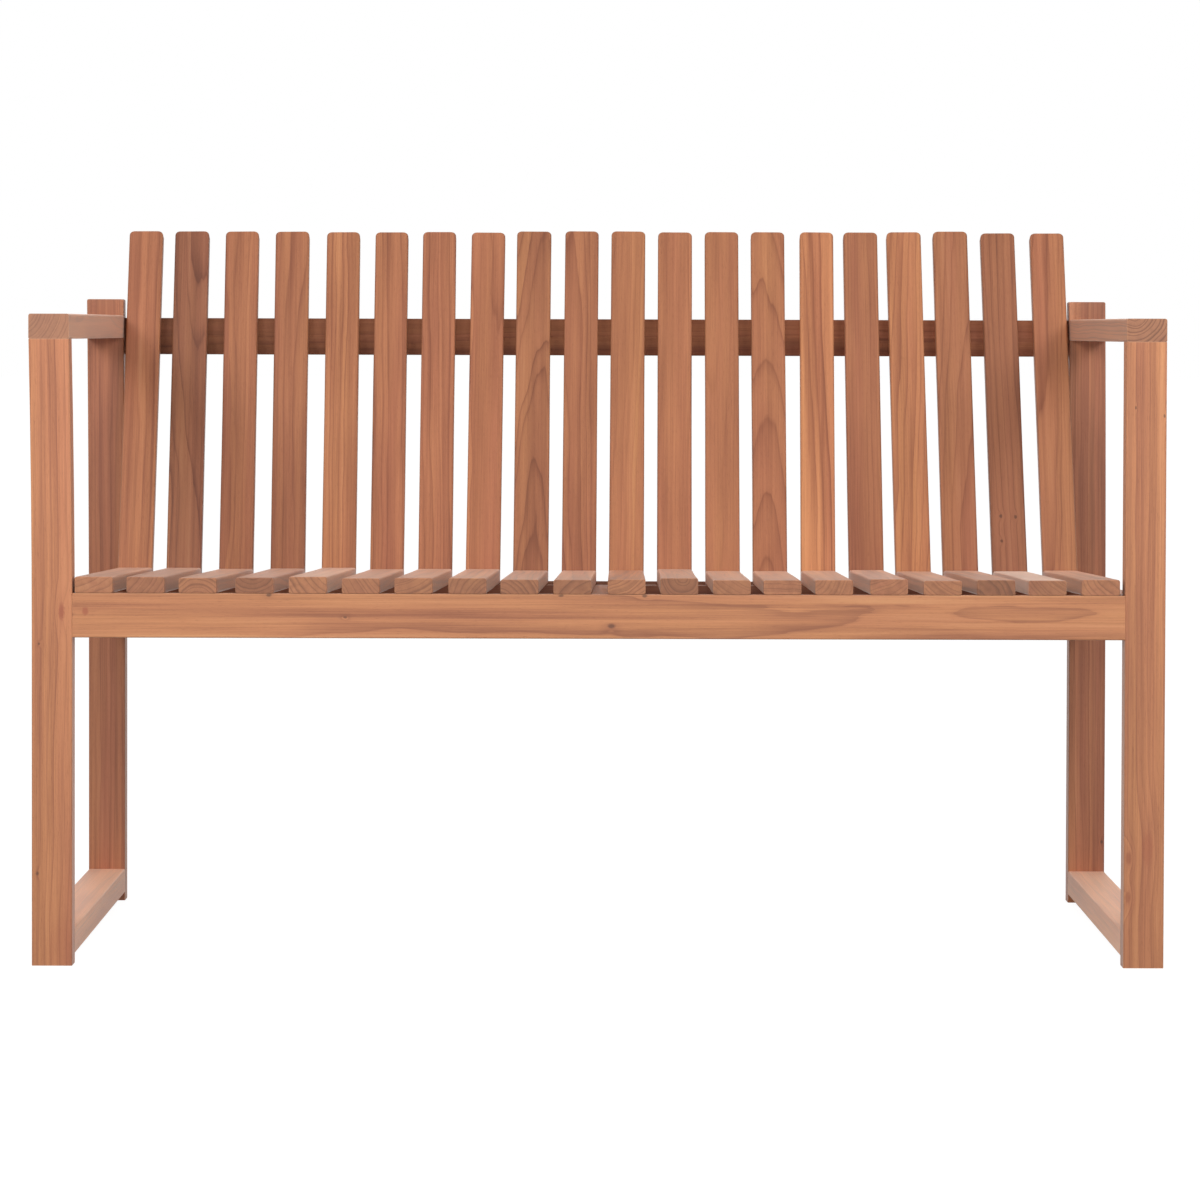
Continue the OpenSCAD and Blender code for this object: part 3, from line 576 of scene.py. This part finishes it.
# ---------------------------------------------------------------------------
# Each timber's own axes, read from its CAD node
# ---------------------------------------------------------------------------
class Timber:
    """A CAD board's middle, axes and half sizes, and the slopes of its two ends."""

    SAME_WAY = 0.999        # normals this close lie on one plane
    SAME_PLANE = 0.2 * MM
    FULL_END = 0.35         # an end face holds at least this share of the cross-section
    FACES_SIDE = 0.99       # a side face's normal against its axis
    FACES_END = 0.85        # an end face's, which may be sawn at a slant

    def __init__(self, node):
        self.planes = []    # [area, normal, distance from the origin, sum of area * centre]
        for face in node.data.polygons:
            centre = face.center.copy()
            self.collect(face.area, face.normal.copy(), face.normal.dot(centre), centre)
        self.planes.sort(key=lambda plane: -plane[0])
        self.through = self.positive(self.planes[0][1])
        side = next(plane[1] for plane in self.planes if abs(plane[1].dot(self.through)) < 0.1)
        self.across = self.positive(side - self.through * side.dot(self.through))
        self.along = self.positive(self.across.cross(self.through))
        axes = (self.along, self.across, self.through)
        corner_low = Vector([self.reach(axis, -1) for axis in axes])
        corner_high = Vector([self.reach(axis, 1) for axis in axes])
        centre = (corner_low + corner_high) / 2
        self.half = (corner_high - corner_low) / 2
        self.middle = self.along * centre[0] + self.across * centre[1] + self.through * centre[2]
        self.place_ends()
        self.front = -1 if self.through.y > 0 else 1    # the side of through that faces forward

    def collect(self, area, normal, far, centre):
        """Adds a face to the plane that it lies on."""
        for plane in self.planes:
            if plane[1].dot(normal) > self.SAME_WAY and abs(plane[2] - far) < self.SAME_PLANE:
                plane[0] += area
                plane[3] += centre * area
                return
        self.planes.append([area, normal, far, centre * area])

    @staticmethod
    def positive(axis):
        """The axis, turned so that its largest part is positive."""
        axis = axis.normalized()
        return axis if axis[max(range(3), key=lambda i: abs(axis[i]))] > 0 else -axis

    def reach(self, axis, side):
        """Where the middle of the largest face towards one side of an axis lies along it."""
        least = self.FACES_END if axis is self.along else self.FACES_SIDE
        area, _, _, centre = next(
            plane for plane in self.planes if plane[1].dot(axis) * side > least)
        return centre.dot(axis) / area

    def place_ends(self):
        """Finds the outermost full end faces, not the tenons', and their place along."""
        section = 4 * self.half[1] * self.half[2]
        ends = {}
        for side in (-1, 1):
            hits = []
            for area, normal, far, _ in self.planes:
                facing = normal.dot(self.along) * side
                if facing > self.FACES_END and area > self.FULL_END * section:
                    line = self.middle - self.along * self.middle.dot(self.along)
                    hits.append(((far - normal.dot(line)) / normal.dot(self.along), normal))
            ends[side] = max(hits, key=lambda hit: hit[0] * side)
        low, high = ends[-1][0], ends[1][0]
        self.middle += self.along * ((low + high) / 2 - self.middle.dot(self.along))
        self.half[0] = (high - low) / 2
        # how fast each end face runs along the grain, per metre through and across the board
        self.slopes = {
            side: (-normal.dot(self.across) / normal.dot(self.along),
                   -normal.dot(self.through) / normal.dot(self.along))
            for side, (_, normal) in ends.items()}

    def point(self, x, y, z):
        return self.middle + self.along * x + self.across * y + self.through * z


# ---------------------------------------------------------------------------
# Slats
# ---------------------------------------------------------------------------
def section(half_w, half_t, radius):
    """A rounded rectangle as (across, through) points, with support points at its corners."""
    points = []
    for quarter, (y_side, z_side) in enumerate(((1, 1), (-1, 1), (-1, -1), (1, -1))):
        cy, cz = y_side * (half_w - radius), z_side * (half_t - radius)
        start = quarter * math.pi / 2
        arc = [start + math.pi / 2 * k / CORNER_STEPS for k in range(CORNER_STEPS + 1)]
        ring = [(cy + radius * math.cos(a), cz + radius * math.sin(a)) for a in arc]
        before = (ring[0][0] + SUPPORT * math.sin(start), ring[0][1] - SUPPORT * math.cos(start))
        end = start + math.pi / 2
        after = (ring[-1][0] - SUPPORT * math.sin(end), ring[-1][1] + SUPPORT * math.cos(end))
        points += [before, *ring, after]
        if quarter in (0, 2):
            points.append((0.0, z_side * half_t))
    return points


def inset(depth, radius):
    """How far a rounded corner stands in from the side, depth from the end."""
    if depth >= radius:
        return 0.0
    return radius - math.sqrt(radius * radius - (radius - depth) ** 2)


def end_depths(radius, steps):
    """Distances from the end of the loops that round a corner of this radius."""
    return [radius * (1 - math.cos(math.pi / 2 * k / steps)) for k in range(steps + 1)]


def make_slat(name, timber, seed, top_r=0.0):
    """A board in a CAD slat's place, with softened ends; top_r rounds its upper end's corners."""
    half_l, half_w, half_t = (size - SLAT_SLACK for size in timber.half)
    low = end_depths(SLAT_END_R, END_STEPS)
    high = sorted(set(low + (end_depths(top_r, TOP_STEPS) if top_r else [])))
    body = 2 * half_l - low[-1] - high[-1]
    count = max(2, round(body / STATION_STEP))
    stations = [(depth, depth, -1) for depth in low]
    stations += [(low[-1] + body * k / count, None, 0) for k in range(1, count)]
    stations += [(2 * half_l - depth, depth, 1) for depth in reversed(high)]
    rng = random.Random(seed)
    drift = Vector((rng.uniform(0, 99), rng.uniform(0, 99), rng.uniform(0, 99)))

    mesh = bmesh.new()
    rings = []

    def ring_at(x, trim_w, trim_t):
        """One loop of points: a little off straight, and slanted near an end like its face."""
        share = (x + half_l) / (2 * half_l)
        wave = Vector((share * 2.4, 0, 0)) + drift
        slack_w = SLAT_BOW * noise.noise(wave)
        slack_t = SLAT_BOW * noise.noise(wave + Vector((0, 31.7, 0))) * 0.5
        slope = [(1 - share) * timber.slopes[-1][k] + share * timber.slopes[1][k] for k in (0, 1)]
        ends_only = abs(2 * share - 1) ** 8
        radius = SLAT_EDGE_R * (1 + 0.22 * noise.noise(wave * 3.1))
        ring = []
        for y, z in section(half_w - trim_w - abs(slack_w), half_t - trim_t - abs(slack_t), radius):
            shift = (slope[0] * y + slope[1] * z) * ends_only
            ring.append(mesh.verts.new(timber.point(x + shift, y + slack_w, z + slack_t)))
        return ring

    for place, depth, side in stations:
        x = place - half_l
        corner = top_r if side == 1 else 0.0
        trim_w = max(inset(depth, SLAT_END_R), inset(depth, corner)) if side else 0.0
        trim_t = inset(depth, SLAT_END_R) if side else 0.0
        if side == -1 and depth == 0.0:
            rings.append(ring_at(x, trim_w + SUPPORT, trim_t + SUPPORT))
        rings.append(ring_at(x, trim_w, trim_t))
        if side == 1 and depth == 0.0:
            rings.append(ring_at(x, trim_w + SUPPORT, trim_t + SUPPORT))
    for first, second in zip(rings, rings[1:]):
        for k in range(len(first)):
            n = (k + 1) % len(first)
            mesh.faces.new((first[k], first[n], second[n], second[k]))
    mesh.faces.new(list(reversed(rings[0])))
    mesh.faces.new(rings[-1])
    bmesh.ops.recalc_face_normals(mesh, faces=mesh.faces)
    for face in mesh.faces:
        face.smooth = True
    data = bpy.data.meshes.new(name)
    mesh.to_mesh(data)
    mesh.free()
    made = bpy.data.objects.new(name, data)
    bpy.context.collection.objects.link(made)
    return made


def dress(thing, material):
    """Gives a mesh one material."""
    thing.data.materials.clear()
    thing.data.materials.append(material)


def soften(node):
    """Shades a CAD member's rounded edges smoothly and keeps its flat faces flat."""
    for face in node.data.polygons:
        face.use_smooth = True
    flat = node.modifiers.new("even_normals", "WEIGHTED_NORMAL")
    flat.keep_sharp = True
    flat.weight = 100
    if "sharp_edge" not in node.data.attributes:
        node.data.attributes.new("sharp_edge", "BOOLEAN", "EDGE")
    mesh = bmesh.new()
    mesh.from_mesh(node.data)
    flags = [not edge.is_manifold or edge.calc_face_angle(0.0) > SHARP_TURN for edge in mesh.edges]
    mesh.free()
    node.data.attributes["sharp_edge"].data.foreach_set("value", flags)


def slat_look(kind, index):
    """A slat's own wood: tone and hue from the lists, the rest drawn, then its own changes."""
    rng = random.Random(f"{kind}-{index}")
    tone = (BACK_TONE if kind == "back" else SEAT_TONE)[index]
    red = (BACK_RED if kind == "back" else SEAT_RED)[index]
    side = rng.choice((-1, 1))
    look = dict(
        tone=tone, red=red, ring=rng.uniform(4.0, 7.5),
        pith=(side * rng.uniform(10, 70), rng.uniform(25, 70)),
        tilt=(rng.uniform(-0.02, 0.02), rng.uniform(-0.03, 0.03)),
        band=rng.uniform(0.8, 1.5), line=rng.uniform(0.8, 1.4),
        gloss=0.3, sheen=0.06)
    if kind == "seat":
        # a seat slat's fade is a painted highlight, brighter towards the back
        look.update(gloss=0.5, sheen=0.34, fade=0.20, end_dark=SEAT_END_DARK[index])
    look.update((BACK_LOOKS if kind == "back" else SEAT_LOOKS).get(index + 1, {}))
    return look


for number, (name, look) in enumerate(FRAME_LOOKS.items()):
    timber = Timber(nodes[name])
    dress(nodes[name], teak_material("teak_" + name, timber, look, 100 + number))
    soften(nodes[name])

for kind, corner in (("seat", 0.0), ("back", BACK_TOP_R)):
    for index in range(SLATS):
        name = f"{kind}_slat_{index + 1:02d}"
        timber = Timber(nodes[name])
        board = make_slat(name + "_board", timber, 1000 + index, corner)
        seed = (300 if kind == "seat" else 500) + index
        dress(board, teak_material("teak_" + name, timber, slat_look(kind, index), seed))
        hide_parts(name)
        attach(board, "root")

steel = steel_material()
for name in ("seat_screws", "back_screws"):
    dress(nodes[name], steel)
    soften(nodes[name])

# ---------------------------------------------------------------------------
# Floor, light and camera
# ---------------------------------------------------------------------------
FLOOR_R = 60.0
FLOOR_SHADE = 0.18      # how much light the floor gives back to the bench
FLOOR_GLOW = 0.95       # its own light, for all but diffuse rays, so that it is seen white
SKY_SEEN = 1.0          # the surroundings' strength, seen directly or in a gloss
SKY_LIGHT = 0.42        # and for diffuse rays, as light on the bench
WHITE = (1, 1, 1, 1)


def make_floor():
    """A wide pale disc that renders white, as the photograph's background does."""
    mesh = bmesh.new()
    bmesh.ops.create_circle(mesh, cap_ends=True, segments=96, radius=FLOOR_R)
    data = bpy.data.meshes.new("floor")
    mesh.to_mesh(data)
    mesh.free()
    floor = bpy.data.objects.new("floor", data)
    bpy.context.collection.objects.link(floor)
    material = bpy.data.materials.new("floor_paint")
    material.use_nodes = True
    material.node_tree.nodes.clear()
    graph = Graph(material.node_tree)
    shade = graph.node("BsdfDiffuse", {"Color": (FLOOR_SHADE, FLOOR_SHADE, FLOOR_SHADE, 1.0)})
    glow = graph.node("Emission", {"Color": WHITE, "Strength": FLOOR_GLOW})
    bounced = graph.node("LightPath").outputs["Is Diffuse Ray"]
    both = graph.node("AddShader", {0: shade.outputs[0], 1: glow.outputs[0]})
    lit = graph.node("MixShader", {0: bounced, 1: both.outputs[0], 2: shade.outputs[0]})
    out = graph.node("OutputMaterial")
    material.node_tree.links.new(lit.outputs[0], out.inputs["Surface"])
    data.materials.append(material)


def make_world():
    """Even white surroundings."""
    world = bpy.data.worlds.new("studio")
    bpy.context.scene.world = world
    world.use_nodes = True
    world.node_tree.nodes.clear()
    graph = Graph(world.node_tree)
    white = graph.node("Background", {"Color": WHITE, "Strength": SKY_SEEN})
    soft = graph.node("Background", {"Color": WHITE, "Strength": SKY_LIGHT})
    diffuse = graph.node("LightPath").outputs["Is Diffuse Ray"]
    both = graph.node("MixShader", {0: diffuse, 1: white.outputs[0], 2: soft.outputs[0]})
    out = graph.node("OutputWorld")
    world.node_tree.links.new(both.outputs[0], out.inputs["Surface"])


def softbox(name, place, target, width, height, power):
    """An area light that points at the target and isn't seen itself."""
    light = bpy.data.lights.new(name, "AREA")
    light.shape = "RECTANGLE"
    light.size, light.size_y = width, height
    light.energy = power
    made = bpy.data.objects.new(name, light)
    bpy.context.collection.objects.link(made)
    made.location = place
    made.rotation_mode = "QUATERNION"
    made.rotation_quaternion = (Vector(target) - Vector(place)).to_track_quat("-Z", "Y")
    made.visible_camera = False


def make_camera():
    """The photograph's camera, turned about its own axes and shifted as it was framed."""
    data = bpy.data.cameras.new("camera")
    data.lens = CAMERA_LENS
    data.sensor_width = CAMERA_SENSOR
    data.shift_y = CAMERA_SHIFT
    data.clip_start, data.clip_end = 0.05, 200
    made = bpy.data.objects.new("camera", data)
    bpy.context.collection.objects.link(made)
    turn = (Matrix.Rotation(CAMERA_YAW, 4, "Z") @ Matrix.Rotation(-CAMERA_PITCH, 4, "X")
            @ Matrix.Rotation(CAMERA_ROLL, 4, "Y") @ Matrix.Rotation(math.pi / 2, 4, "X"))
    made.matrix_world = Matrix.Translation(CAMERA_PLACE) @ turn
    bpy.context.scene.camera = made


make_floor()
make_world()
# each light's place, target, width, height and power in watts
softbox("key", (-2.0, -2.6, 2.0), (0, 0, 0.5), 1.1, 1.1, 42)
softbox("fill", (2.0, -2.6, 1.9), (0, 0, 0.5), 1.1, 1.1, 34)
softbox("front", (0, -3.3, 1.0), (0, 0, 0.5), 3.0, 1.6, 22)
softbox("top", (0, -0.3, 3.2), (0, 0, 0), 3.4, 2.4, 20)
make_camera()
bpy.context.scene.view_settings.view_transform = "Standard"
